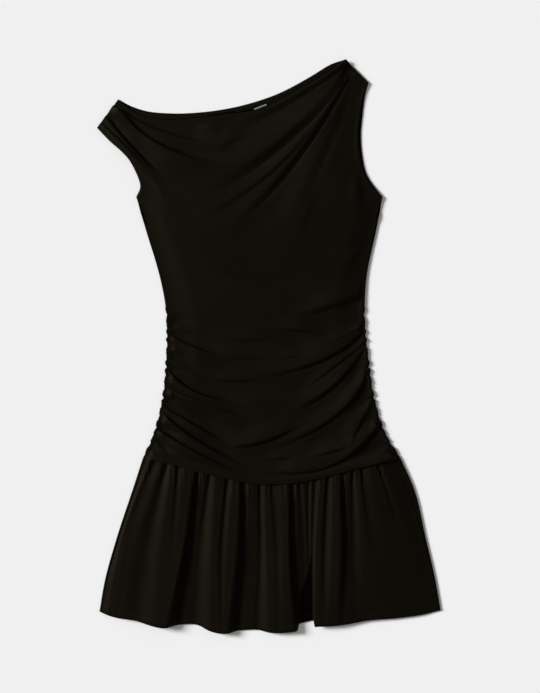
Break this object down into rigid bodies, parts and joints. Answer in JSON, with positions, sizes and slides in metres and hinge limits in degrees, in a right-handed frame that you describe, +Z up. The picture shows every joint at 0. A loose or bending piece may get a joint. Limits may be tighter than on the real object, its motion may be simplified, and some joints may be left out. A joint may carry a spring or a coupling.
{
  "type": "ruched mini dress",
  "caption": "Short jersey dress laid flat: slanted neck gathered at both shoulders, ruched side seams, bodice bloused over a gathered flounce skirt.",
  "frame": {"origin": "middle of the laid-out dress, on the surface it lies on", "axes": "+Z up from the surface, out of the front of the dress; +Y towards the neck; +X towards the high shoulder"},
  "size_m": [0.5167, 0.8628, 0.0107],
  "materials": {
    "jersey": "matt black stretch jersey with a faint sheen on the folds",
    "label_tape": "dark woven tape"
  },
  "bodies": {
    "root": {"front_bodice": "jersey", "back_bodice": "jersey", "front_skirt": "jersey", "back_skirt": "jersey", "neck_label": "label_tape"}
  },
  "joints": []
}
